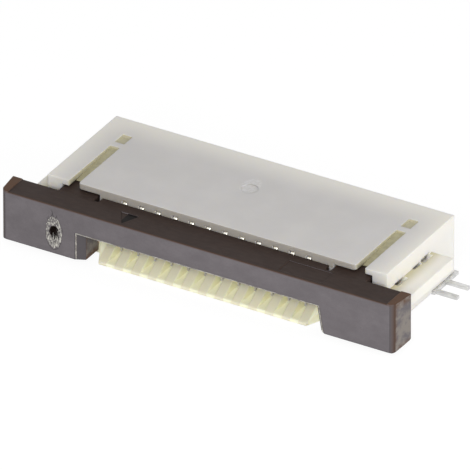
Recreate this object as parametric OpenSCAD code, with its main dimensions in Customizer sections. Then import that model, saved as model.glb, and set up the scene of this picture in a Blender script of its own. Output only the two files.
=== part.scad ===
// Right-angle surface-mount connector for flat flexible cable, shown closed and with no cable.
// X runs along the row of contacts, the cable goes in along +Y, and Z = 0 is the circuit board.

/* [Cable and contacts] */
// Number of contacts
circuits = 12; // [6:1:16]
// Distance from one contact to the next
pitch = 1; // [0.9:0.05:1.25]
// Thickness of the sheet that the contacts are stamped from
contact_t = 0.25; // [0.2:0.01:0.3]
// Clearance on each side of a contact in its slot
contact_clear = 0.04; // [0.02:0.01:0.06]
// Height of the solder tails
tail_t = 0.22; // [0.15:0.01:0.3]
// Length of the solder tails behind the housing
tail_out = 1; // [0.6:0.1:1.5]
// Height of the fixed upper beam of a contact
upper_beam_h = 0.46; // [0.35:0.01:0.5]
// Height of the springing lower beam of a contact
lower_beam_h = 0.4; // [0.3:0.01:0.5]
// Clearance on each side of the cable
cable_clear = 0.05; // [0.03:0.01:0.1]

/* [Housing] */
// Depth of the housing behind the slider bar
housing_d = 7; // [6.7:0.05:8]
// Height of the housing top above the board
housing_h = 3.6; // [3.4:0.05:3.9]
// Gap between the housing and the board
stand_off = 0.1; // [0.05:0.01:0.15]
// Thickness of the top plate over the contacts
roof_t = 0.6; // [0.55:0.01:0.7]
// Thickness of the wings and flanges beside the top plate
wing_t = 0.33; // [0.3:0.01:0.5]
// Thickness of the side walls of the cable slot
core_wall = 0.45; // [0.3:0.01:0.6]
// Height of the cable slot's floor above the board
floor_z = 0.95; // [0.85:0.01:1.05]
// Width of a wing between the cable slot's wall and the long slit
wing_w = 1.29; // [1.2:0.01:1.6]
// Width of the long slit between the top plate and an arm
slit_w = 0.55; // [0.3:0.01:0.6]
// Width of an arm across its top
arm_w = 1.29; // [1.25:0.01:1.6]
// Thickness of an arm's outer wall
arm_wall = 0.52; // [0.4:0.01:0.6]
// Inward step of the stop behind the front of an arm
stop_step = 0.42; // [0.35:0.01:0.5]
// Depth of the stop, from the front of the arm
stop_d = 1.8; // [1.4:0.05:1.95]
// Depth of the rear block that holds the contacts
rear_block_d = 2.8; // [2.4:0.05:2.9]
// Reach of the right ledge beyond its arm
ledge_w = 1.3; // [0.8:0.05:1.5]
// Reach of the left ledge beyond its arm
ledge_left_w = 0.85; // [0.5:0.05:1]
// Thickness of the side ledges
ledge_t = 0.68; // [0.5:0.01:0.9]
// Drop of the ledges below the housing top
ledge_drop = 1; // [0.9:0.02:1.2]
// Depth of the ledges behind the slider
ledge_d = 5.1; // [4:0.05:5.6]
// Depth of the small pocket beside each arm's front window, in the ledge
ledge_dip = 0.3; // [0.1:0.01:0.35]
// Reach of the cable ramp in front of the housing
ramp_out = 1.48; // [1:0.02:1.5]
// Depth of the sloping part of the ramp
ramp_d = 1.15; // [0.8:0.05:1.3]
// Narrowing of the ramp on each side, from its rear to its front
ramp_taper = 0.47; // [0.2:0.01:0.6]
// Height of the ramp's front edge above the housing's underside
ramp_lip = 0.17; // [0.1:0.01:0.25]
// Width of the open slots in the ramp
ramp_slot_w = 0.46; // [0.35:0.01:0.6]
// Radius of the front corners of the wings
wing_r = 0.22; // [0.1:0.01:0.4]
// Radius of the round moulding mark on the top plate
mould_mark_r = 0.45; // [0.3:0.05:0.6]

/* [Slider] */
// Reach of the slider's ends beyond the side ledges
end_over = 0.46; // [0.2:0.02:0.8]
// Drop of the slider's top below the housing top
slider_drop = 0.4; // [0.3:0.01:0.45]
// Height of the legs' undersides above the board
leg_bottom = 0.35; // [0.25:0.01:0.5]
// Depth of the end blocks
leg_d = 1.515; // [1.3:0.005:1.8]
// Extra depth of the bar between the end blocks
bar_extra_d = 0.45; // [0.3:0.01:0.5]
// Height of the bar's front face
bar_h = 1.25; // [1.15:0.01:1.35]
// Taper of each end from the rear to the front
end_taper = 0.15; // [0:0.01:0.4]
// Radius of the upright front corners
corner_r = 0.34; // [0.15:0.01:0.5]
// Radius of the lower outer corners of the end blocks
lower_r = 0.32; // [0.1:0.01:0.5]
// Depth of the lead-in on the inner side of each leg
lead_in_d = 0.26; // [0.1:0.02:0.5]
// Width of the lead-in on the inner side of each leg
lead_in_w = 0.58; // [0.3:0.02:0.7]
// Width of the raised lip at each end of the top
lip_w = 0.58; // [0.3:0.01:0.8]
// Rise of that lip
lip_rise = 0.06; // [0.02:0.01:0.1]
// Length of the pressing tongue behind the bar
tongue_d = 3.75; // [3:0.05:3.9]
// Thickness of the tongue at its root
tongue_t = 0.8; // [0.6:0.01:0.8]
// Thickness of the tongue at its tip
tongue_tip_t = 0.42; // [0.3:0.01:0.5]
// Height of the latch arms
latch_h = 1.5; // [1:0.05:1.6]
// Depth of the hook at the end of each latch arm
hook_d = 0.6; // [0.4:0.05:0.8]
// Reach of the hook behind the stop
hook_reach = 0.36; // [0.25:0.01:0.4]
// Travel of the slider from closed to open
travel = 1.5; // [1:0.05:1.6]
// Running gap between the slider and the housing
slide_gap = 0.08; // [0.05:0.01:0.1]
// Depth of the marks sunk into the slider's top
mark_depth = 0.05; // [0.03:0.01:0.08]

/* [Solder tabs] */
// Thickness of the sheet that the solder tabs are stamped from
tab_t = 0.2; // [0.15:0.01:0.25]
// Depth of a tab's foot on the board
foot_d = 2.5; // [2.2:0.05:2.6]
// Width of each prong
prong_w = 0.26; // [0.2:0.01:0.5]
// Distance from one prong to the next
prong_pitch = 1.12; // [0.9:0.02:1.3]
// Reach of the prongs beyond the foot
prong_out = 1.25; // [0.8:0.05:1.4]
// Width of the foot beside the housing
foot_w = 0.15; // [0.1:0.01:0.5]
// Clearance around a tab's blade in the housing
tab_clear = 0.02; // [0.01:0.01:0.03]

/* [Hidden] */
$fn = 32;
eps = 0.01;

// Places along X, from the centre outwards
cable_half = pitch * (circuits + 1) / 2;
cavity_half = cable_half + cable_clear;
core_half = cavity_half + core_wall;
wing_half = core_half + wing_w;
arm_in = wing_half + slit_w;
arm_out = arm_in + arm_w;
stop_in = arm_in + stop_step;
pocket_out = arm_out - arm_wall;
ledge_out = arm_out + ledge_w;
hook_out = stop_in - slide_gap + hook_reach;
leg_in = cavity_half + 4 * cable_clear;
ramp_half = leg_in - slide_gap;
slider_half = ledge_out + end_over;

// Places along Y: the whole depth is centred on Y = 0
slider_proud = leg_d + bar_extra_d + slide_gap;
front_y = -(slider_proud + housing_d + tail_out) / 2;
leg_rear_y = front_y + leg_d;
bar_rear_y = leg_rear_y + bar_extra_d;
housing_y = front_y + slider_proud;
housing_rear_y = housing_y + housing_d;
tail_end_y = housing_rear_y + tail_out;
block_y = housing_rear_y - rear_block_d;
ramp_y = housing_y - ramp_out;
tongue_end_y = bar_rear_y + tongue_d;
hook_y = housing_y + stop_d + travel + slide_gap;
latch_end_y = hook_y + hook_d;
ledge_y = leg_rear_y + slide_gap;

// Heights
slider_top = housing_h - slider_drop;
bar_bottom = slider_top - bar_h;
tongue_top = bar_bottom + tongue_t;
roof_z = housing_h - roof_t;
wing_z = housing_h - wing_t;
ledge_z = housing_h - ledge_drop;
groove_z = slider_top + 0.1;
dip_z = ledge_z - ledge_dip;
channel_z = stand_off + 0.2;
upper_beam_z = groove_z - upper_beam_h;
latch_top = wing_z - slide_gap;
latch_z = latch_top - latch_h;

function contact_name(i) = str("contact_", i < 10 ? "0" : "", i);
function contact_x(i) = (i - (circuits + 1) / 2) * pitch;
function arc(cx, cy, r, from, to, steps = 8) =
    [for (k = [0:steps]) let (a = from + (to - from) * k / steps) [cx + r * cos(a), cy + r * sin(a)]];

// A box given by its low and high corners
module block(low, high) {
    translate(low) cube(high - low);
}

// The same box on both sides of the centre
module pair(low, high) {
    block(low, high);
    mirror([1, 0, 0]) block(low, high);
}

// Turns a [Y, Z] outline into a plate that is centred on X = x
module side_plate(x, width) {
    translate([x - width / 2, 0, 0])
        rotate([90, 0, 90]) linear_extrude(width) children();
}

// Turns an [X, Z] outline into a plate that reaches back from Y = y
module front_plate(y, depth) {
    translate([0, y + depth, 0])
        rotate([90, 0, 0]) linear_extrude(depth) children();
}

// ---- Housing ----

window_y = housing_y + 0.8;
window_end_y = window_y + 0.95;
ledge_end_y = ledge_y + ledge_d;
ramp_end_y = ramp_y + ramp_d;
window_rise = 0.08;
mark_y = (housing_y + housing_rear_y) / 2 + 0.5;

// Floor of the cable slot, with the ramp that leads the cable in
module floor_outline() {
    polygon([
        [ramp_y, stand_off],
        [block_y, stand_off],
        [block_y, floor_z],
        [ramp_end_y, floor_z],
        [ramp_y, stand_off + ramp_lip]
    ]);
}

// Plan of the ramp, which narrows to the front
module ramp_plan() {
    ramp_front_half = ramp_half - ramp_taper;
    polygon([
        [-ramp_front_half, ramp_y],
        [ramp_front_half, ramp_y],
        [ramp_half, ledge_y],
        [ramp_half, block_y],
        [-ramp_half, block_y],
        [-ramp_half, ledge_y]
    ]);
}

// Plan of the top plate with rounded front corners
module top_plan(half, r) {
    polygon(concat(
        [[-half, block_y]],
        arc(-half + r, housing_y + r, r, 180, 270),
        arc(half - r, housing_y + r, r, 270, 360),
        [[half, block_y]]
    ));
}

module housing_solid() {
    // floor of the cable slot and the ramp between the slider's legs
    intersection() {
        side_plate(0, 2 * ramp_half) floor_outline();
        linear_extrude(housing_h) ramp_plan();
    }
    block([-core_half, housing_y, stand_off], [core_half, block_y, floor_z]);
    // walls of the cable slot
    pair([cavity_half, ledge_y, stand_off], [core_half, housing_y + eps, bar_bottom - slide_gap]);
    pair([cavity_half, housing_y, stand_off], [core_half, block_y, housing_h]);
    // top plate with its thinner wings
    block([-core_half, housing_y, roof_z], [core_half, block_y, housing_h]);
    translate([0, 0, wing_z]) linear_extrude(wing_t) top_plan(wing_half, wing_r);
    // rear block
    block([-arm_out, block_y, stand_off], [arm_out, housing_rear_y, housing_h]);
    // arms, each with a flange on top and a stop at the front
    pair([arm_in, housing_y, wing_z], [arm_out, block_y, housing_h]);
    pair([pocket_out, housing_y, stand_off], [arm_out, block_y, housing_h]);
    pair([stop_in, housing_y, stand_off], [arm_out, housing_y + stop_d, housing_h]);
    // side ledges
    block([arm_out - eps, ledge_y, ledge_z - ledge_t], [ledge_out, ledge_end_y, ledge_z]);
    block([-arm_out - ledge_left_w, ledge_y, ledge_z - ledge_t], [eps - arm_out, ledge_end_y, ledge_z]);
}

// Slot for the lower beam of one contact, the groove for its upper beam and its channel in the rear block
module contact_space(x) {
    slot = contact_t + 2 * contact_clear;
    low_x = x - slot / 2;
    high_x = x + slot / 2;
    block([x - ramp_slot_w / 2, ramp_y - 1, channel_z], [x + ramp_slot_w / 2, housing_y, floor_z + 0.2]);
    block([low_x, housing_y - eps, channel_z], [high_x, housing_rear_y + 1, floor_z + 0.2]);
    block([low_x, housing_y - 1, roof_z - 0.5], [high_x, block_y + eps, groove_z]);
    block([low_x, block_y - eps, channel_z], [high_x, housing_rear_y + 1, groove_z]);
    block([low_x, tail_root_y - contact_clear, stand_off - 1], [high_x, housing_rear_y + 1, groove_z]);
}

// Openings at the base of each arm's outer wall: a shaft at the front with a pocket beside it,
// a window beside the hook and one beside the tab's blade
module windows() {
    hook_window_y = hook_y - 0.7;
    tab_window_y = blade_y + 0.05;
    pair([pocket_out, window_y, -1], [arm_out - 0.15, window_end_y, ledge_z]);
    pair([pocket_out, window_y, dip_z], [arm_out + 0.25, window_end_y, ledge_z + eps]);
    pair([pocket_out - 1, hook_window_y, ledge_z - 0.3], [arm_out + 0.13, hook_window_y + 0.7, ledge_z + eps]);
    pair([blade_x + tab_t, tab_window_y, ledge_z - 0.3],
         [arm_out + 0.22, tab_window_y + 0.85, ledge_z + window_rise]);
}

// Room for the latch arms and for the travel of their hooks
module latch_room() {
    low_z = latch_z - slide_gap;
    end_y = latch_end_y + slide_gap;
    pair([core_half, housing_y - 1, low_z], [stop_in, end_y, latch_top + slide_gap]);
    pair([core_half, housing_y + stop_d, low_z], [hook_out + slide_gap, end_y, ledge_z]);
}

module housing() {
    pocket_y = block_y + 0.45;
    color([0.93, 0.91, 0.86]) difference() {
        housing_solid();
        for (i = [1:circuits]) contact_space(contact_x(i));
        windows();
        latch_room();
        // shallow pockets behind the slits
        pair([wing_half, pocket_y, housing_h - 0.15], [arm_in, pocket_y + 0.85, housing_h + 1]);
        // slots for the blades of the solder tabs, and the room for their feet
        pair([blade_x - tab_clear, blade_y - tab_clear, -1],
             [blade_x + tab_t + tab_clear, housing_rear_y + 1, blade_top + tab_clear]);
        pair([blade_x, foot_y - tab_clear, -1], [arm_out + 1, housing_rear_y + 1, tab_t + tab_clear]);
        // round moulding mark
        translate([-0.35, mark_y, housing_h - 0.04]) cylinder(r = mould_mark_r, h = 1);
    }
}

// ---- Contacts ----

tail_root_y = housing_rear_y - 0.5;
base_y = block_y + 0.4;
bump_y = housing_y + 1.75;
bump_r = 0.25;
bump_z = bar_bottom - 0.2 - bump_r;

// Stamped outline: a fork with a stiff upper beam, a springing lower beam and a solder tail
module contact_outline() {
    beam_root_z = channel_z + lower_beam_h + 0.15;
    tip_y = housing_y;
    union() {
        // fixed upper beam
        polygon([
            [tip_y, upper_beam_z + 0.18],
            [tip_y + 0.2, upper_beam_z],
            [base_y + eps, upper_beam_z],
            [base_y + eps, groove_z - contact_clear],
            [tip_y + 0.1, groove_z - contact_clear],
            [tip_y, groove_z - contact_clear - 0.1]
        ]);
        // base
        polygon([
            [base_y, channel_z],
            [tail_root_y, channel_z],
            [tail_root_y, 0],
            [tail_end_y, 0],
            [tail_end_y, tail_t],
            [housing_rear_y + 0.12, tail_t],
            [housing_rear_y - 0.05, tail_t + 0.17],
            [housing_rear_y - 0.05, groove_z - contact_clear - 0.2],
            [housing_rear_y - 0.25, groove_z - contact_clear],
            [base_y, groove_z - contact_clear]
        ]);
        // springing lower beam
        polygon([
            [base_y + eps, channel_z],
            [base_y + eps, beam_root_z],
            [base_y - 0.5, beam_root_z - 0.1],
            [bump_y + 0.15, bump_z + 0.2],
            [bump_y - 0.15, bump_z + 0.2],
            [housing_y + 0.8, floor_z + 0.12],
            [housing_y + 0.8, floor_z - 0.1],
            [bump_y - 0.1, bump_z - 0.2],
            [base_y - 0.6, channel_z + 0.04]
        ]);
        translate([bump_y, bump_z]) circle(bump_r);
    }
}

module contact(i) {
    color([0.86, 0.82, 0.7]) side_plate(contact_x(i), contact_t) contact_outline();
}

// ---- Solder tabs ----

blade_x = arm_out - 0.42;
blade_y = block_y - 0.7;
blade_top = ledge_z + 0.3;
foot_behind = 0.22;
foot_y = housing_rear_y + foot_behind - foot_d;

module tab() {
    foot_out = arm_out + foot_w;
    // upright blade in the housing
    block([blade_x, blade_y, channel_z], [blade_x + tab_t, housing_rear_y - 0.1, blade_top]);
    block([blade_x, foot_y, 0], [blade_x + tab_t, foot_y + foot_d, channel_z + eps]);
    // foot on the board
    block([blade_x, foot_y, 0], [foot_out, foot_y + foot_d, tab_t]);
    for (k = [0, 1])
        translate([0, foot_y + 0.12 + k * prong_pitch, 0])
            block([foot_out - eps, 0, 0], [foot_out + prong_out, prong_w, tab_t]);
}

module solder_tab_right() {
    color([0.72, 0.72, 0.7]) tab();
}

module solder_tab_left() {
    color([0.72, 0.72, 0.7]) mirror([1, 0, 0]) tab();
}

// ---- Slider ----

// Lean of the right leg's inner side in degrees, and its step back from the left leg's match
leg_lean = 10;
lean_step = 0.25;
sprue_x = -8.45;
sprue_z = slider_top - 1.69;

// Plan of the right half, with its tapered end, rounded corner and the bar's deeper back
module plan_half() {
    front_x = slider_half - end_taper;
    polygon(concat(
        [[-eps, front_y]],
        arc(front_x - corner_r, front_y + corner_r, corner_r, -90, -6),
        [[slider_half, leg_rear_y], [leg_in, leg_rear_y], [leg_in, bar_rear_y], [-eps, bar_rear_y]]
    ));
}

// Front view of the right half: the bar and one end block with its rounded lower corner
module front_half() {
    polygon(concat(
        [[-eps, bar_bottom], [leg_in, bar_bottom], [leg_in, leg_bottom]],
        arc(slider_half - lower_r, leg_bottom + lower_r, lower_r, -90, 0),
        [[slider_half, slider_top + lip_rise], [slider_half - lip_w, slider_top + lip_rise],
         [slider_half - lip_w, slider_top], [-eps, slider_top]]
    ));
}

// Side view of the tongue that presses the cable onto the contacts
module tongue_outline() {
    polygon([
        [bar_rear_y - eps, bar_bottom],
        [tongue_end_y - 0.6, bar_bottom],
        [tongue_end_y, tongue_top - tongue_tip_t],
        [tongue_end_y, tongue_top],
        [bar_rear_y - eps, tongue_top]
    ]);
}

module slider_half_solid() {
    difference() {
        intersection() {
            front_plate(front_y, leg_d + bar_extra_d) front_half();
            linear_extrude(housing_h) plan_half();
        }
        // lead-in on the inner side of the leg, below the bar
        linear_extrude(bar_bottom)
            polygon([
                [leg_in - eps, front_y - eps],
                [leg_in + lead_in_w, front_y - eps],
                [leg_in - eps, front_y + lead_in_d]
            ]);
    }
    // latch arm with its hook
    latch_in = core_half + slide_gap;
    latch_out = stop_in - slide_gap;
    block([latch_in, leg_rear_y - eps, latch_z], [latch_out, latch_end_y, latch_top]);
    block([latch_in, hook_y, latch_z], [hook_out, latch_end_y, ledge_z - slide_gap]);
}

// Plan of the cut along the right leg's inner side, measured from that leg's inner face
module leg_side() {
    polygon([
        [-1, front_y - eps],
        [lead_in_w, front_y - eps],
        [lean_step, front_y + lead_in_d],
        [lean_step, leg_rear_y + 1],
        [-1, leg_rear_y + 1]
    ]);
}

module slider() {
    color([0.3, 0.24, 0.22]) difference() {
        union() {
            side_plate(0, 2 * cable_half - 2 * cable_clear) tongue_outline();
            slider_half_solid();
            mirror([1, 0, 0]) slider_half_solid();
        }
        // inner side of the right leg, which leans away from the cable below the bar
        translate([leg_in, 0, bar_bottom]) rotate([0, -leg_lean, 0])
            translate([0, 0, -slider_top]) linear_extrude(slider_top - 0.1) leg_side();
        // triangle that marks the first contact
        translate([contact_x(1) + 0.88, 0, slider_top - mark_depth]) linear_extrude(1)
            polygon([[-0.62, leg_rear_y - 0.24], [0.45, leg_rear_y - 0.24], [0, front_y + 0.24]]);
        // long shallow panel at the right of the top
        block([contact_x(circuits) - 0.75, front_y + 0.25, slider_top - mark_depth / 2],
              [contact_x(circuits) + 1.85, leg_rear_y - 0.15, housing_h]);
        // pit that the broken-off sprue left in the front face
        translate([sprue_x, front_y - 1, sprue_z]) rotate([-90, 0, 0]) cylinder(r = 0.3, h = 1.25);
    }
}

housing();
slider();
for (i = [1:circuits])
    contact(i);
solder_tab_left();
solder_tab_right();
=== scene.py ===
"""Dresses the flat-cable connector: moulded plastics, stamped metal, studio and camera."""

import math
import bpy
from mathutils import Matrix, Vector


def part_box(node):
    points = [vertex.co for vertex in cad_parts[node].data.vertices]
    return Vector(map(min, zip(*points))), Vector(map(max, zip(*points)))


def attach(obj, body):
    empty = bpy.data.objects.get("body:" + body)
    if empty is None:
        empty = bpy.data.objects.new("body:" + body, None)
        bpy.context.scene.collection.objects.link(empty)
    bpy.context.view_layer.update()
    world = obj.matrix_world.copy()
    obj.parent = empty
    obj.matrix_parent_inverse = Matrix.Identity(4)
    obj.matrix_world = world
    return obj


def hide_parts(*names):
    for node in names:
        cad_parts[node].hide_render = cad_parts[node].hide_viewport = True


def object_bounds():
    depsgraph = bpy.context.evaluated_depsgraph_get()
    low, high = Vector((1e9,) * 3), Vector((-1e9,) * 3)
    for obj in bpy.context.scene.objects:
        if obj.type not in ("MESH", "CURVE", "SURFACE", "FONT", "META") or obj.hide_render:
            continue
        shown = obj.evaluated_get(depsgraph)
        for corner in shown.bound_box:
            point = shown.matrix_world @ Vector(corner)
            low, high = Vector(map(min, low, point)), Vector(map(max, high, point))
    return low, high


bl_info = {
    "name": "Flat Cable Connector",
    "version": (1, 0, 0),
    "blender": (4, 5, 0),
    "location": "3D View > Sidebar > Connector",
    "description": "Finishes the pieces of a right-angle flat-cable connector and sets up its studio",
    "category": "Object",
}

import bmesh
import bpy
from mathutils import Matrix, Vector
from mathutils.geometry import intersect_point_line

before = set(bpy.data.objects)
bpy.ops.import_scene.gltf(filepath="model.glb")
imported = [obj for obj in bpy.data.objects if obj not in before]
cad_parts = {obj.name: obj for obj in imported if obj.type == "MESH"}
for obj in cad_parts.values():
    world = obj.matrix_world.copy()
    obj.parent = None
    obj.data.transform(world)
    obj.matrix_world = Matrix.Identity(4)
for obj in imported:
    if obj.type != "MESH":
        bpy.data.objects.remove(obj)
CAD_BOX = [list(corner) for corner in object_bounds()]
MM = 0.001
CONTACTS = sorted(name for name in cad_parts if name.startswith("contact_"))
TABS = ["solder_tab_left", "solder_tab_right"]

# Places in millimetres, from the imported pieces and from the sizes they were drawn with.
# The slider's bar lies in front of the housing's top panel, which has a wing, a slit and an arm
# at each end. Ledges stand out beside the arms, and the ramp for the cable lies below the bar.
TOP_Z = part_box("housing")[1][2] / MM
REAR_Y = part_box("housing")[1][1] / MM
END_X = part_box("slider")[1][0] / MM
FRONT_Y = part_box("slider")[0][1] / MM
BAR_TOP = TOP_Z - 0.4
BAR_BOTTOM = BAR_TOP - 1.25
PANEL_Y = FRONT_Y + 2.045
WING_X = 8.29
ARM_IN_X = 8.84
ARM_OUT_X = 10.13
LEDGE_Z = TOP_Z - 1.0
LEG_BOTTOM = 0.35
LEAD_IN_X = 7.33
LEAN = 0.26
END_REAR_Y = FRONT_Y + 1.6
TRIANGLE_X = -4.0
SCUFF_X, SCUFF_Y = -0.45, 1.3

# Middle of the torn-off sprue, and the half width and half height of its dish and of its hole
GATE_X, GATE_Z = -8.55, BAR_TOP - 1.64
DISH = (0.5, 1.0)
HOLE = (0.27, 0.38)

# The rays that see the white background
SEEN_RAYS = ("Is Camera Ray", "Is Glossy Ray", "Is Transmission Ray")


# ---- Shader maths ----


class Value:
    """A shader socket that adds its Math nodes when it is used in an expression."""

    def __init__(self, tree, socket):
        self.tree = tree
        self.socket = socket

    def _math(self, operation, *operands):
        return self.tree.node("ShaderNodeMath", {"operation": operation}, dict(enumerate(operands)))

    def __add__(self, other):
        return self._math("ADD", self, other)

    def __radd__(self, other):
        return self._math("ADD", other, self)

    def __sub__(self, other):
        return self._math("SUBTRACT", self, other)

    def __rsub__(self, other):
        return self._math("SUBTRACT", other, self)

    def __mul__(self, other):
        return self._math("MULTIPLY", self, other)

    def __rmul__(self, other):
        return self._math("MULTIPLY", other, self)

    def absolute(self):
        return self._math("ABSOLUTE", self)

    def fraction(self):
        return self._math("FRACT", self)

    def least(self, other):
        return self._math("MINIMUM", self, other)

    def most(self, other):
        return self._math("MAXIMUM", self, other)

    def between(self, low, high):
        """0 below low, 1 above high and smooth in between."""
        settings = {"interpolation_type": "SMOOTHSTEP"}
        inputs = {"Value": self, "From Min": low, "From Max": high}
        return self.tree.node("ShaderNodeMapRange", settings, inputs)


class Finish:
    """A material under construction."""

    def __init__(self, name):
        self.material = bpy.data.materials.new(name)
        self.material.use_nodes = True
        self.tree = self.material.node_tree
        self.shader = self.tree.nodes["Principled BSDF"]
        self.place = self.node("ShaderNodeTexCoord", {}, {}, "Object")
        self.x, self.y, self.z = (
            self.node("ShaderNodeSeparateXYZ", {}, {0: self.place}, axis) * (1 / MM)
            for axis in range(3)
        )

    def node(self, kind, settings, inputs, output=0):
        """Adds a node with its settings and inputs, and gives one of its outputs."""
        made = self.tree.nodes.new(kind)
        for key, value in settings.items():
            setattr(made, key, value)
        for key, value in inputs.items():
            self.feed(made.inputs[key], value)
        return Value(self, made.outputs[output])

    def feed(self, socket, value):
        if isinstance(value, Value):
            self.tree.links.new(value.socket, socket)
        else:
            socket.default_value = value

    def set(self, **inputs):
        """Sets the main shader's sockets; an underscore in a name stands for a space."""
        for key, value in inputs.items():
            self.feed(self.shader.inputs[key.replace("_", " ")], value)

    def noise(self, size, detail=3.0, roughness=0.5, stretch=(1, 1, 1)):
        """Noise with features about that many metres across, stretched along the axes."""
        scale = tuple(1.0 / s for s in stretch)
        place = self.node("ShaderNodeMapping", {}, {"Vector": self.place, "Scale": scale})
        inputs = {"Vector": place, "Scale": 1.0 / size, "Detail": detail, "Roughness": roughness}
        return self.node("ShaderNodeTexNoise", {}, inputs)

    def mix(self, factor, low, high):
        """The low colour where the factor is 0 and the high one where it is 1."""
        settings = {"data_type": "RGBA"}
        inputs = {"Factor": factor, 6: self._colour(low), 7: self._colour(high)}
        return self.node("ShaderNodeMix", settings, inputs, 2)

    def _colour(self, colour):
        return colour if isinstance(colour, Value) else (*tuple(colour)[:3], 1.0)

    def bump(self, height, distance, strength=1.0, rounding=0.0):
        """A bumpy normal, over edges that look rounded by that radius."""
        inputs = {"Height": height, "Distance": distance, "Strength": strength}
        if rounding:
            inputs["Normal"] = self.node("ShaderNodeBevel", {"samples": 6}, {"Radius": rounding})
        return self.node("ShaderNodeBump", {}, inputs)

    def oval(self, across, along, across_weight, along_weight):
        """The squares of two distances by their weights: 0 in an oval's middle and rising outwards."""
        return across * across * across_weight + along * along * along_weight

    def facing(self, direction):
        """How far the surface faces that way, from -1 to 1."""
        normal = self.node("ShaderNodeNewGeometry", {}, {}, "Normal")
        settings = {"operation": "DOT_PRODUCT"}
        return self.node("ShaderNodeVectorMath", settings, {0: normal, 1: direction}, "Value")


# ---- Meshes ----


class Recipe:
    """A Geometry Nodes tree under construction, which is then baked to a plain mesh."""

    def __init__(self, name):
        self.group = bpy.data.node_groups.new(name, "GeometryNodeTree")
        for way in ("INPUT", "OUTPUT"):
            self.group.interface.new_socket("Geometry", in_out=way, socket_type="NodeSocketGeometry")
        self.start = self.group.nodes.new("NodeGroupInput")
        self.end = self.group.nodes.new("NodeGroupOutput")
        self.base = self.start.outputs["Geometry"]
        self.sizes = {}

    def size(self, name, value, kind="Float"):
        """A named input with its value; lengths are in metres."""
        socket = self.group.interface.new_socket(
            name, in_out="INPUT", socket_type="NodeSocket" + kind
        )
        self.sizes[socket.identifier] = value
        return self.start.outputs[name]

    def node(self, kind, settings, inputs, output=0):
        """Adds a node with its settings and inputs, and gives one of its outputs."""
        made = self.group.nodes.new(kind)
        for key, value in settings.items():
            setattr(made, key, value)
        for key, value in inputs.items():
            if isinstance(value, bpy.types.NodeSocket):
                self.group.links.new(value, made.inputs[key])
            else:
                made.inputs[key].default_value = value
        return made.outputs[output]

    def vector(self, operation, one, other=None, output=0):
        """A sum, product or measure of vectors."""
        inputs = {0: one} if other is None else {0: one, 1: other}
        return self.node("ShaderNodeVectorMath", {"operation": operation}, inputs, output)

    def random(self, low, high, seed):
        """A random vector between two others for each point."""
        inputs = {0: low, 1: high, 8: seed}
        return self.node("FunctionNodeRandomValue", {"data_type": "FLOAT_VECTOR"}, inputs)

    def bake(self, geometry, finish, piece):
        """Ends the tree, runs it on the piece's mesh and keeps the result as its mesh."""
        whole = self.node("GeometryNodeRealizeInstances", {}, {"Geometry": geometry})
        inputs = {"Geometry": whole, "Material": finish.material}
        painted = self.node("GeometryNodeSetMaterial", {}, inputs)
        self.group.links.new(painted, self.end.inputs["Geometry"])
        modifier = piece.modifiers.new(self.group.name, "NODES")
        modifier.node_group = self.group
        for identifier, value in self.sizes.items():
            modifier[identifier] = value
        bake_modifiers(piece)


def bake_modifiers(piece):
    """Makes the modified mesh the piece's own and removes its modifiers."""
    graph = bpy.context.evaluated_depsgraph_get()
    mesh = bpy.data.meshes.new_from_object(piece.evaluated_get(graph))
    piece.modifiers.clear()
    piece.data = mesh
    mesh.name = piece.name


def new_piece(name, mesh):
    """An object with that mesh, at the origin."""
    piece = bpy.data.objects.new(name, mesh)
    bpy.context.scene.collection.objects.link(piece)
    return piece


def piece_from(work, name):
    """A piece with the mesh that was worked on."""
    mesh = bpy.data.meshes.new(name)
    work.to_mesh(mesh)
    work.free()
    return new_piece(name, mesh)


def line_piece(name, points):
    """A piece that is an open line through points in millimetres."""
    mesh = bpy.data.meshes.new(name)
    edges = [(i, i + 1) for i in range(len(points) - 1)]
    mesh.from_pydata([Vector(point) * MM for point in points], edges, [])
    return new_piece(name, mesh)


def prism_piece(name, outline, start_x, end_x):
    """A closed piece with an outline of (y, z) points from one X to another, in millimetres."""
    work = bmesh.new()
    start = [work.verts.new(Vector((start_x, y, z)) * MM) for y, z in outline]
    end = [work.verts.new(Vector((end_x, y, z)) * MM) for y, z in outline]
    work.faces.new(start)
    work.faces.new(end[::-1])
    for i in range(len(outline)):
        work.faces.new((start[i], start[i - 1], end[i - 1], end[i]))
    bmesh.ops.recalc_face_normals(work, faces=work.faces)
    return piece_from(work, name)


def ellipsoid_piece(name, centre, radii):
    """A piece that is a closed ellipsoid, from sizes in millimetres."""
    work = bmesh.new()
    place = Matrix.Translation(Vector(centre) * MM) @ Matrix.Diagonal((*(Vector(radii) * MM), 1))
    bmesh.ops.create_icosphere(work, subdivisions=3, radius=1, matrix=place)
    return piece_from(work, name)


def is_near(vertex, edge, room):
    """Whether a vertex lies beside an edge, nearer to it than the room."""
    foot, share = intersect_point_line(vertex.co, edge.verts[0].co, edge.verts[1].co)
    return -0.01 < share < 1.01 and (vertex.co - foot).length < room


def has_room(edge, room):
    """Whether an edge is a sharp outer one with room for its rounding on both its faces."""
    if len(edge.link_faces) != 2 or edge.calc_face_angle(0) < math.radians(30):
        return False
    along = (edge.verts[1].co - edge.verts[0].co).normalized()
    for vertex in edge.verts:
        for other in vertex.link_edges:
            way = (other.verts[1].co - other.verts[0].co).normalized()
            if other.calc_length() < room and abs(way.dot(along)) < 0.85:
                return False
    for face in edge.link_faces:
        for other in face.edges:
            if not set(edge.verts) & set(other.verts):
                near = [is_near(vertex, other, room) for vertex in edge.verts]
                near += [is_near(vertex, edge, room) for vertex in other.verts]
                if any(near):
                    return False
    return True


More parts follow.
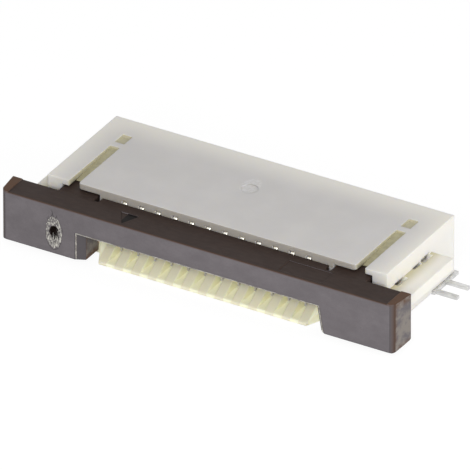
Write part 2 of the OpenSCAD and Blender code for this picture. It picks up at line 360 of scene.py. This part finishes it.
def rounded_copy(node, name, width):
    """A copy of a CAD node's mesh, welded, with its sharp edges rounded by that width."""
    work = bmesh.new()
    work.from_mesh(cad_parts[node].data)
    bmesh.ops.remove_doubles(work, verts=work.verts, dist=1e-7)
    bmesh.ops.dissolve_limit(
        work, angle_limit=math.radians(1), verts=work.verts, edges=work.edges, delimit=set()
    )
    sharp = [edge for edge in work.edges if has_room(edge, 2.1 * width)]
    bmesh.ops.bevel(
        work, geom=sharp, offset=width, offset_type="OFFSET", segments=2, profile=0.5,
        affect="EDGES", clamp_overlap=False,
    )
    for face in work.faces:
        face.smooth = False
    return piece_from(work, name)


def settle(piece, body, slot, *nodes):
    """Lets a piece ride on a body, in place of the named nodes."""
    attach(piece, body)
    if nodes:
        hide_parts(*nodes)


def paint(piece, finish):
    """Gives a piece that finish and no other."""
    piece.data.materials.clear()
    piece.data.materials.append(finish.material)


def way_to(azimuth, elevation):
    """The way to a place round the connector, from angles in degrees; azimuth 0 is its front."""
    a, e = math.radians(azimuth), math.radians(elevation)
    return Vector((math.sin(a) * math.cos(e), -math.cos(a) * math.cos(e), math.sin(e)))


# ---- Sizes and colours ----


def colour(name, description, default):
    """A colour property."""
    return bpy.props.FloatVectorProperty(
        name=name, description=description, subtype="COLOR", size=3, min=0, max=1, default=default
    )


def length(name, description, default):
    """A length property; the default is in millimetres."""
    return bpy.props.FloatProperty(
        name=name, description=description, unit="LENGTH", min=0, precision=6, default=default * MM
    )


class HousingSettings(bpy.types.PropertyGroup):
    colour: colour("Colour", "Colour of the thick plastic", (0.69, 0.67, 0.655))
    # painted glow of light shining through the thin plastic, also used for the lit outer part of the ledges
    glow_colour: colour("Thin Colour", "Colour where the plastic is thin", (0.93, 0.9, 0.83))
    scuff_colour: colour("Scuff Colour", "Colour of the scuff on the top", (0.86, 0.85, 0.86))
    # painted shade in the slits and beside the arms
    shade_colour: colour("Shade Colour", "Colour of the slits and beside the arms", (0.55, 0.51, 0.33))
    # painted light on the ramp's lands and slots, for light shining through the translucent plastic
    ramp_lit_colour: colour("Ramp Colour", "Colour of the ramp's lands", (0.95, 0.89, 0.66))
    slot_glow_colour: colour("Slot Colour", "Colour of the ramp's slots", (1.0, 0.98, 0.7))
    # painted shade on the panel's front edge
    brow_shade_colour: colour("Brow Colour", "Colour of the panel's front edge", (0.42, 0.39, 0.35))
    rounding: length("Rounding", "Radius of the rounded edges", 0.03)


class SliderSettings(bpy.types.PropertyGroup):
    colour: colour("Colour", "Colour of the slider", (0.04, 0.026, 0.0215))
    # the front face's frosted skin, made lighter by painted sheen
    frost_and_sheen_colour: colour("Frost Colour", "Colour of the frosted front face", (0.17, 0.154, 0.163))
    end_colour: colour("End Colour", "Colour of the two end faces", (0.23, 0.205, 0.185))
    # reddish brown for the top front edge, the raised lips and the edges of the end faces
    reddish_brown_colour: colour("Rust Colour", "Colour of the rubbed edges", (0.12, 0.065, 0.04))
    torn_colour: colour("Torn Colour", "Colour of torn plastic", (0.62, 0.6, 0.54))
    rounding: length("Rounding", "Radius of the rounded edges", 0.028)


class MetalSettings(bpy.types.PropertyGroup):
    contact_colour: colour("Contact Colour", "Colour of the contacts", (0.92, 0.89, 0.8))
    tab_colour: colour("Tab Colour", "Colour of the solder tabs", (0.69, 0.69, 0.68))
    contact_rounding: length("Contact Rounding", "Radius of the contacts' rounded edges", 0.05)
    rounding: length("Rounding", "Radius of the tabs' rounded edges", 0.02)


class StudioSettings(bpy.types.PropertyGroup):
    azimuth: bpy.props.FloatProperty(
        name="Azimuth", description="Turn of the camera round the connector, in degrees",
        default=30.36,
    )
    elevation: bpy.props.FloatProperty(
        name="Elevation", description="Height of the camera above the horizon, in degrees",
        default=30.41,
    )
    distance: length("Distance", "Distance of the camera", 1079.4)
    aim_side: bpy.props.FloatProperty(
        name="Aim Side", description="Shift of the camera's aim to its right",
        default=-0.548 * MM, unit="LENGTH",
    )
    aim_up: bpy.props.FloatProperty(
        name="Aim Up", description="Shift of the camera's aim upwards",
        default=-0.1338 * MM, unit="LENGTH",
    )
    lens: bpy.props.FloatProperty(
        name="Lens", description="Focal length of the camera", default=1600, unit="CAMERA"
    )
    sky: bpy.props.FloatProperty(
        name="Sky", description="Strength of the light from all round", default=0.4,
    )
    right_power: bpy.props.FloatProperty(
        name="Right Light", description="Strength of the softbox at the right", default=4.3,
    )
    front_power: bpy.props.FloatProperty(
        name="Front Light", description="Strength of the softbox in front", default=4.6,
    )


# ---- Operators ----


class CONNECTOR_OT_housing(bpy.types.Operator):
    """Round off and finish the off-white housing"""

    bl_idname = "connector.housing"
    bl_label = "Finish Housing"

    def execute(self, context):
        settings = context.scene.connector_housing
        piece = rounded_copy("housing", "housing_moulding", settings.rounding)
        paint(piece, self.finish(settings))
        settle(piece, "housing", "housing", "housing")
        self.webs(settings)
        return {"FINISHED"}

    def webs(self, settings):
        """The thin skin under each slit, which falls towards its open front end."""
        finish = Finish("slit_skin_shade")
        pale = finish.noise(0.3 * MM, detail=3).between(0.3, 0.7)
        # the skin carries the painted shade of the slits
        shade = Vector(settings.shade_colour) * 0.85
        finish.set(Base_Color=finish.mix(pale, shade * 0.9, shade * 1.1), Roughness=0.5)
        front, rear = PANEL_Y + 0.75, PANEL_Y + 4.3
        bottom, top_front, top_rear = TOP_Z - 0.375, TOP_Z - 0.34, TOP_Z - 0.12
        outline = [(front, bottom), (front, top_front), (rear, top_rear), (rear, bottom)]
        for side, name in ((-1, "slit_web_left"), (1, "slit_web_right")):
            piece = prism_piece(name, outline, side * WING_X, side * ARM_IN_X)
            paint(piece, finish)
            settle(piece, "housing", "housing")

    def finish(self, settings):
        finish = Finish("off_white_thermoplastic")
        x, y, z = finish.x, finish.y, finish.z
        out = x.absolute()
        up = finish.facing((0, 0, 1)).between(0.3, 0.8)
        cloud = finish.noise(2.2 * MM, detail=4)
        grain = finish.noise(0.05 * MM, detail=4)
        pale = Vector(settings.colour)
        body = finish.mix(cloud.between(0.3, 0.7), pale * 0.97, pale * 1.03)
        # painted glow: the plastic is painted paler and warmer where it is thin, at the rear edge and the two
        # ends, for light shining through it
        thin = 1 - (1 - out.between(8.4, 10.6)) * (1 - y.between(REAR_Y - 2.2, REAR_Y + 0.3))
        tone = finish.mix(thin, body, settings.glow_colour)
        # a pale scuff over the round moulding mark
        scuff = finish.noise(0.13 * MM, detail=4).between(0.35, 0.62)
        scuff = scuff * (1 - finish.oval(x - SCUFF_X, y - SCUFF_Y, 3.3, 1.4).between(0.5, 1.1))
        scuff = scuff * z.between(TOP_Z - 0.1, TOP_Z - 0.06)
        tone = finish.mix(scuff * 0.45, tone, settings.scuff_colour)
        # shaded walls of the slits and the pockets behind them
        slit = out.between(WING_X - 0.1, WING_X) * (1 - out.between(ARM_IN_X, ARM_IN_X + 0.1))
        pocket = slit * z.between(TOP_Z - 0.5, TOP_Z - 0.3) * (1 - z.between(TOP_Z - 0.05, TOP_Z))
        wall = z.between(TOP_Z - 0.7, TOP_Z - 0.5) * slit * (1 - up)
        tone = finish.mix(pocket.most(wall) * 0.8, tone, settings.shade_colour)
        # painted shade on the front edge of the panel beside its top, where the slider's dark top lies just
        # below
        brow_shade = finish.facing((0, -1, 0)).between(0.5, 0.9) * (1 - out.between(WING_X - 0.05, WING_X))
        brow_shade = brow_shade * z.between(TOP_Z - 0.6, TOP_Z - 0.5)
        tone = finish.mix(brow_shade, tone, settings.brow_shade_colour)
        # ledges, with painted shade beside the arms that pales outwards into the painted glow
        ledge = out.between(ARM_OUT_X - 0.02, ARM_OUT_X + 0.02)
        ledge = ledge * (1 - z.between(LEDGE_Z, LEDGE_Z + 0.05)) * up
        outwards = out.between(ARM_OUT_X, ARM_OUT_X + 0.9)
        ledge_shading = finish.mix(outwards, settings.shade_colour, settings.glow_colour)
        tone = finish.mix(ledge, tone, ledge_shading)
        # the ramp is painted bright and warm for the light it catches through the translucent plastic,
        # brighter still in its slots, which lie 1 mm apart
        ramp = (1 - z.between(1.1, 1.2)) * (1 - y.between(PANEL_Y - 0.1, PANEL_Y))
        land = (x.fraction() - 0.5).absolute().between(0.18, 0.27)
        ramp_lit_tone = finish.mix(land, settings.slot_glow_colour, settings.ramp_lit_colour)
        tone = finish.mix(ramp, tone, ramp_lit_tone)
        # painted glow: the slots give off a faint light, standing in for light from below coming through
        # their thin floor
        through = finish.mix(ramp * (1 - land), (0, 0, 0), settings.slot_glow_colour)
        finish.set(
            Base_Color=tone,
            Roughness=cloud * 0.12 + 0.46,
            Normal=finish.bump(grain, 0.01 * MM, 0.3, 0.09 * MM),
            Subsurface_Weight=0.3,
            Subsurface_Radius=(1.0, 0.85, 0.5),
            Subsurface_Scale=0.5 * MM,
            Emission_Color=through,
            Emission_Strength=0.16,
        )
        return finish


class CONNECTOR_OT_slider(bpy.types.Operator):
    """Round off and finish the dark brown slider, with the scar of its torn-off sprue"""

    bl_idname = "connector.slider"
    bl_label = "Finish Slider"

    def execute(self, context):
        settings = context.scene.connector_slider
        piece = rounded_copy("slider", "slider_moulding", settings.rounding)
        self.dig_scar(piece)
        paint(piece, self.finish(settings))
        settle(piece, "slider", "slider", "slider")
        self.shards(settings)
        self.flash(settings)
        return {"FINISHED"}

    def dig_scar(self, piece):
        """Cuts the shallow dish of the scar and the deep hole in its middle."""
        for (width, height), depth in ((DISH, 0.06), (HOLE, 0.5)):
            cutter = ellipsoid_piece("cutter", (GATE_X, FRONT_Y, GATE_Z), (width, depth, height))
            cut = piece.modifiers.new("scar", "BOOLEAN")
            cut.object = cutter
            cut.solver = "EXACT"
            bake_modifiers(piece)
            bpy.data.objects.remove(cutter)

    def finish(self, settings):
        finish = Finish("dark_brown_thermoplastic")
        x, y, z = finish.x, finish.y, finish.z
        up = finish.facing((0, 0, 1)).between(0.8, 0.95)
        front = finish.facing((0, -1, 0))
        side = finish.facing((1, 0, 0)).absolute().between(0.88, 0.98)
        fibres = finish.noise(0.16 * MM, detail=5, stretch=(3, 1, 1.3))
        mottle = finish.noise(0.8 * MM, detail=6, roughness=0.65, stretch=(1.6, 1, 1))
        blotch = finish.noise(0.55 * MM, detail=5, roughness=0.65, stretch=(1, 1.4, 1))
        speckle = finish.noise(0.09 * MM, detail=3, roughness=0.7)
        brown = Vector(settings.colour)
        frost_and_sheen = Vector(settings.frost_and_sheen_colour)
        tone = finish.mix(fibres.between(0.25, 0.75), brown * 0.88, brown * 1.15)
        # faces turned to the front are painted lighter: partly their frosted skin, partly painted sheen
        tone = finish.mix(front.between(0.4, 0.9), tone, frost_and_sheen * 0.6)
        skin = finish.mix(mottle.between(0.25, 0.75), frost_and_sheen * 0.88, frost_and_sheen * 1.1)
        skin = finish.mix(fibres.between(0.6, 0.8) * 0.18, skin, frost_and_sheen * 1.25)
        skin = finish.mix(speckle.between(0.45, 0.75) * 0.3, skin, frost_and_sheen * 0.7)
        tone = finish.mix(front.between(0.97, 0.995), tone, skin)
        ends = finish.mix(blotch.between(0.38, 0.62), settings.end_colour, frost_and_sheen * 0.8)
        ends = finish.mix(speckle.between(0.55, 0.8) * 0.4, ends, frost_and_sheen * 0.6)
        # the end faces turn reddish brown near their edges
        edge = 1 - (z - LEG_BOTTOM).least(BAR_TOP - z).least(y - FRONT_Y).between(0.05, 0.5)
        ends = finish.mix(edge * blotch.between(0.3, 0.6), ends, settings.reddish_brown_colour)
        tone = finish.mix(side * (1 - y.between(END_REAR_Y, END_REAR_Y + 0.1)), tone, ends)
        # reddish brown along the top front edge, on the raised lips and near the ends
        rim = z.between(BAR_TOP - 0.09, BAR_TOP - 0.04) * (1 - y.between(FRONT_Y + 0.04, FRONT_Y + 0.1))
        lip = z.between(BAR_TOP + 0.02, BAR_TOP + 0.04) * up
        corner = x.absolute().between(END_X - 0.45, END_X - 0.2) * (1 - side)
        browning = (rim * 0.55).most(lip).most(corner * 0.45) * (0.55 + mottle * 0.6)
        tone = finish.mix(browning.least(1.0), tone, settings.reddish_brown_colour)
        # painted shade makes the sunk triangle beside the first contact almost black
        sunk_shade = z.between(BAR_TOP - 0.07, BAR_TOP - 0.06) * (1 - z.between(BAR_TOP - 0.02, BAR_TOP - 0.01))
        sunk_shade = sunk_shade * (1 - (x - TRIANGLE_X).absolute().between(0.8, 0.85))
        sunk_shade = sunk_shade * y.between(FRONT_Y + 0.1, FRONT_Y + 0.15)
        tone = finish.mix(sunk_shade, tone, brown * 0.1)
        # the scar is pale where it is torn, and painted shade makes its hole almost black
        across, upwards = x - GATE_X, z - GATE_Z
        near = 1 - y.between(FRONT_Y + 0.5, FRONT_Y + 0.6)
        dish = finish.oval(across, upwards, 4.4, 1.15).between(0.75, 1.05)
        hole = finish.oval(across, upwards, 11, 5.5).between(0.8, 1.2)
        torn = finish.noise(0.1 * MM, detail=4, stretch=(0.8, 1, 2.2)).between(0.45, 0.6)
        tone = finish.mix((1 - dish) * near * torn * 0.8, tone, settings.torn_colour)
        tone = finish.mix((1 - hole) * near, tone, brown * 0.35)
        finish.set(
            Base_Color=tone,
            Roughness=mottle * 0.25 + 0.38,
            Specular_IOR_Level=0.12,
            Normal=finish.bump(speckle * 0.8 + fibres * 0.5, 0.012 * MM, 0.5, 0.12 * MM),
        )
        return finish

    def shards(self, settings):
        """Torn slivers that stand round the hole of the scar, none of them proud of the front face."""
        finish = Finish("torn_thermoplastic")
        pale = finish.noise(0.12 * MM, detail=3).between(0.35, 0.65)
        tone = finish.mix(pale, settings.frost_and_sheen_colour, settings.torn_colour)
        finish.set(Base_Color=tone, Roughness=0.4)
        piece = ellipsoid_piece("torn_sprue", (GATE_X, FRONT_Y + 0.02, GATE_Z), (0.46, 0.05, 0.95))
        recipe = Recipe("torn_slivers")
        length = recipe.size("Length", 0.42 * MM)
        spread = recipe.size("Count Per Area", 60 / MM**2)
        keep_in = recipe.size("Front Face", FRONT_Y * MM)
        middle = recipe.size("Hole Centre", Vector((GATE_X, FRONT_Y, GATE_Z)) * MM, "Vector")
        scale = Vector((1 / HOLE[0], 0, 1 / HOLE[1])) / MM
        hole = recipe.size("Hole Scale", scale, "Vector")
        distribute = {"Mesh": recipe.base, "Density": spread, "Seed": 7}
        points = recipe.node("GeometryNodeDistributePointsOnFaces", {}, distribute)
        # no sliver over the hole
        place = recipe.node("GeometryNodeInputPosition", {}, {})
        away = recipe.vector("MULTIPLY", recipe.vector("SUBTRACT", place, middle), hole)
        away = recipe.vector("LENGTH", away, output="Value")
        over = recipe.node("FunctionNodeCompare", {"operation": "LESS_THAN"}, {0: away, 1: 1.25})
        points = recipe.node("GeometryNodeDeleteGeometry", {}, {"Geometry": points, "Selection": over})
        sliver = {"Vertices": 4, "Radius Top": 0.004 * MM, "Radius Bottom": 0.045 * MM, "Depth": length}
        cone = recipe.node("GeometryNodeMeshCone", {}, sliver)
        lean = recipe.random((-0.3, -0.4, -3), (0.3, 0.4, 3), 3)
        grow = recipe.random((0.5, 0.5, 0.5), (1.3, 0.9, 1.4), 5)
        inputs = {"Points": points, "Instance": cone, "Rotation": lean, "Scale": grow}
        slivers = recipe.node("GeometryNodeInstanceOnPoints", {}, inputs)
        slivers = recipe.node("GeometryNodeRealizeInstances", {}, {"Geometry": slivers})
        x, y, z = (recipe.node("ShaderNodeSeparateXYZ", {}, {0: place}, axis) for axis in range(3))
        y = recipe.node("ShaderNodeMath", {"operation": "MAXIMUM"}, {0: y, 1: keep_in})
        place = recipe.node("ShaderNodeCombineXYZ", {}, {0: x, 1: y, 2: z})
        slivers = recipe.node("GeometryNodeSetPosition", {}, {"Geometry": slivers, "Position": place})
        recipe.bake(slivers, finish, piece)
        settle(piece, "slider", "slider")

    def flash(self, settings):
        """The thin line of flash along the edges of the opening for the cable."""
        finish = Finish("moulding_flash")
        pale = finish.noise(0.3 * MM, detail=3).between(0.3, 0.7)
        tone = finish.mix(pale, settings.end_colour, settings.torn_colour)
        finish.set(Base_Color=tone, Roughness=0.5)
        y = FRONT_Y + 0.06
        x, low, high = LEAD_IN_X - 0.08, LEG_BOTTOM + 0.06, BAR_BOTTOM - 0.035
        points = [(-x, y, low), (-x, y, high), (x, y, high), (x + LEAN, y, low)]
        piece = line_piece("mould_flash", points)
        recipe = Recipe("ragged_line")
        radius = recipe.size("Radius", 0.05 * MM)
        step = recipe.size("Step", 0.06 * MM)
        curve = recipe.node("GeometryNodeMeshToCurve", {}, {"Mesh": recipe.base})
        inputs = {"Curve": curve, "Length": step}
        curve = recipe.node("GeometryNodeResampleCurve", {"mode": "LENGTH"}, inputs)
        shift = Vector((1, 1, 1)) * 0.008 * MM
        ragged = recipe.random(-shift, shift, 11)
        curve = recipe.node("GeometryNodeSetPosition", {}, {"Geometry": curve, "Offset": ragged})
        ring = recipe.node("GeometryNodeCurvePrimitiveCircle", {}, {"Resolution": 6, "Radius": radius})
        inputs = {"Curve": curve, "Profile Curve": ring, "Fill Caps": True}
        tube = recipe.node("GeometryNodeCurveToMesh", {}, inputs)
        recipe.bake(tube, finish, piece)
        settle(piece, "slider", "slider")


class CONNECTOR_OT_metal(bpy.types.Operator):
    """Round off and finish the row of contacts and the two solder tabs"""

    bl_idname = "connector.metal"
    bl_label = "Finish Metal"

    def execute(self, context):
        settings = context.scene.connector_metal
        self.contacts(settings)
        dull = self.plating("dull_tin", settings.tab_colour, 0.42)
        for name in TABS:
            piece = rounded_copy(name, name + "_stamping", settings.rounding)
            paint(piece, dull)
            settle(piece, "housing", "solder_tab", name)
        return {"FINISHED"}

    def plating(self, name, colour, roughness):
        """Cloudy and finely scratched plating."""
        finish = Finish(name)
        cloud = finish.noise(0.35 * MM, detail=5)
        scratches = finish.noise(0.05 * MM, detail=3, stretch=(6, 1, 1))
        shade = Vector(colour)
        finish.set(
            Base_Color=finish.mix(cloud.between(0.3, 0.7), shade * 0.85, shade * 1.08),
            Metallic=0.95,
            Roughness=cloud * 0.2 + (roughness - 0.1),
            Normal=finish.bump(scratches, 0.004 * MM, 0.4),
        )
        return finish

    def contacts(self, settings):
        """One stamped contact, repeated along the row."""
        piece = rounded_copy(CONTACTS[0], "contact_row", settings.contact_rounding)
        first, second = (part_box(name)[0][0] for name in CONTACTS[:2])
        recipe = Recipe("row_of_contacts")
        count = recipe.size("Count", len(CONTACTS), "Int")
        pitch = recipe.size("Pitch", second - first)
        step = recipe.node("ShaderNodeCombineXYZ", {}, {0: pitch})
        inputs = {"Count": count, "Offset": step}
        points = recipe.node("GeometryNodeMeshLine", {}, inputs)
        inputs = {"Points": points, "Instance": recipe.base}
        row = recipe.node("GeometryNodeInstanceOnPoints", {}, inputs)
        recipe.bake(row, self.plating("bright_tin", settings.contact_colour, 0.3), piece)
        settle(piece, "housing", "contact", *CONTACTS)


class CONNECTOR_OT_studio(bpy.types.Operator):
    """Set up the floor, the light and the camera"""

    bl_idname = "connector.studio"
    bl_label = "Set Up Studio"

    def execute(self, context):
        settings = context.scene.connector_studio
        low, high = (Vector(corner) for corner in CAD_BOX)
        centre = (low + high) / 2
        self.floor()
        self.world(context)
        self.lamp("right_softbox", centre, azimuth=82, elevation=14, size=80 * MM, power=settings.right_power)
        self.lamp("front_softbox", centre, azimuth=18, elevation=29, size=50 * MM, power=settings.front_power)
        self.camera(context, settings)
        context.scene.view_settings.view_transform = "Standard"
        return {"FINISHED"}

    def floor(self):
        """A white floor that the camera sees almost as plain white and that keeps a faint shadow."""
        size = 1.0
        mesh = bpy.data.meshes.new("floor")
        corners = [(-size, -size, 0), (size, -size, 0), (size, size, 0), (-size, size, 0)]
        mesh.from_pydata(corners, [], [(0, 1, 2, 3)])
        floor = bpy.data.objects.new("floor", mesh)
        bpy.context.scene.collection.objects.link(floor)
        finish = Finish("white_sweep")
        finish.set(Base_Color=(0.9, 0.9, 0.9, 1), Roughness=0.9)
        glow = finish.node("ShaderNodeEmission", {}, {"Color": (1, 1, 1, 1), "Strength": 1.08})
        rays = [finish.node("ShaderNodeLightPath", {}, {}, ray) for ray in SEEN_RAYS]
        seen = rays[0] + rays[1] + rays[2]
        shader = Value(finish, finish.shader.outputs[0])
        both = finish.node("ShaderNodeMixShader", {}, {0: seen * 0.85, 1: shader, 2: glow})
        finish.feed(finish.tree.nodes["Material Output"].inputs["Surface"], both)
        paint(floor, finish)

    def world(self, context):
        """Soft light from all round, which is plain white where it is seen."""
        world = bpy.data.worlds.new("white_room")
        world.use_nodes = True
        context.scene.world = world
        tree = world.node_tree
        light = tree.nodes["Background"]
        seen = tree.nodes.new("ShaderNodeBackground")
        for node, strength in ((light, context.scene.connector_studio.sky), (seen, 1.0)):
            node.inputs["Color"].default_value = (1, 1, 1, 1)
            node.inputs["Strength"].default_value = strength
        rays = tree.nodes.new("ShaderNodeLightPath")
        shown = light
        for ray in SEEN_RAYS:
            both = tree.nodes.new("ShaderNodeMixShader")
            tree.links.new(rays.outputs[ray], both.inputs[0])
            tree.links.new(shown.outputs[0], both.inputs[1])
            tree.links.new(seen.outputs[0], both.inputs[2])
            shown = both
        tree.links.new(shown.outputs[0], tree.nodes["World Output"].inputs["Surface"])

    def lamp(self, name, centre, azimuth, elevation, size, power):
        """A square softbox that faces the connector; the camera doesn't see it."""
        away = way_to(azimuth, elevation)
        distance = 120 * MM
        light = bpy.data.lights.new(name, "AREA")
        light.shape = "SQUARE"
        light.size = size
        light.energy = power * distance**2
        lamp = bpy.data.objects.new(name, light)
        lamp.visible_camera = False
        lamp.location = centre + away * distance
        lamp.rotation_euler = (-away).to_track_quat("-Z", "Y").to_euler()
        bpy.context.scene.collection.objects.link(lamp)

    def camera(self, context, settings):
        """A far camera with a long lens."""
        back = way_to(settings.azimuth, settings.elevation)
        data = bpy.data.cameras.new("camera")
        data.sensor_width = 36
        data.lens = settings.lens
        data.clip_start = 0.1
        data.clip_end = 10
        camera = bpy.data.objects.new("camera", data)
        turn = (-back).to_track_quat("-Z", "Y")
        aim = turn @ Vector((settings.aim_side, settings.aim_up, 0))
        camera.location = Vector((0, 0, 1.6 * MM)) + aim + back * settings.distance
        camera.rotation_euler = turn.to_euler()
        context.scene.collection.objects.link(camera)
        context.scene.camera = camera


class CONNECTOR_PT_panel(bpy.types.Panel):
    """Lists the pieces of the connector and their settings"""

    bl_idname = "CONNECTOR_PT_panel"
    bl_label = "Flat Cable Connector"
    bl_space_type = "VIEW_3D"
    bl_region_type = "UI"
    bl_category = "Connector"

    def draw(self, context):
        for key, group in SETTINGS.items():
            for setting in group.__annotations__:
                self.layout.prop(getattr(context.scene, key), setting)
            self.layout.operator(key.replace("_", ".", 1))


SETTINGS = {
    "connector_housing": HousingSettings,
    "connector_slider": SliderSettings,
    "connector_metal": MetalSettings,
    "connector_studio": StudioSettings,
}
CLASSES = [
    CONNECTOR_OT_housing,
    CONNECTOR_OT_slider,
    CONNECTOR_OT_metal,
    CONNECTOR_OT_studio,
    CONNECTOR_PT_panel,
]


def register():
    for key, group in SETTINGS.items():
        bpy.utils.register_class(group)
        setattr(bpy.types.Scene, key, bpy.props.PointerProperty(type=group))
    for cls in CLASSES:
        bpy.utils.register_class(cls)


def unregister():
    for cls in reversed(CLASSES):
        bpy.utils.unregister_class(cls)
    for key, group in SETTINGS.items():
        delattr(bpy.types.Scene, key)
        bpy.utils.unregister_class(group)


def main():
    register()
    bpy.ops.connector.housing()
    bpy.ops.connector.slider()
    bpy.ops.connector.metal()
    bpy.ops.connector.studio()


if __name__ == "__main__":
    main()
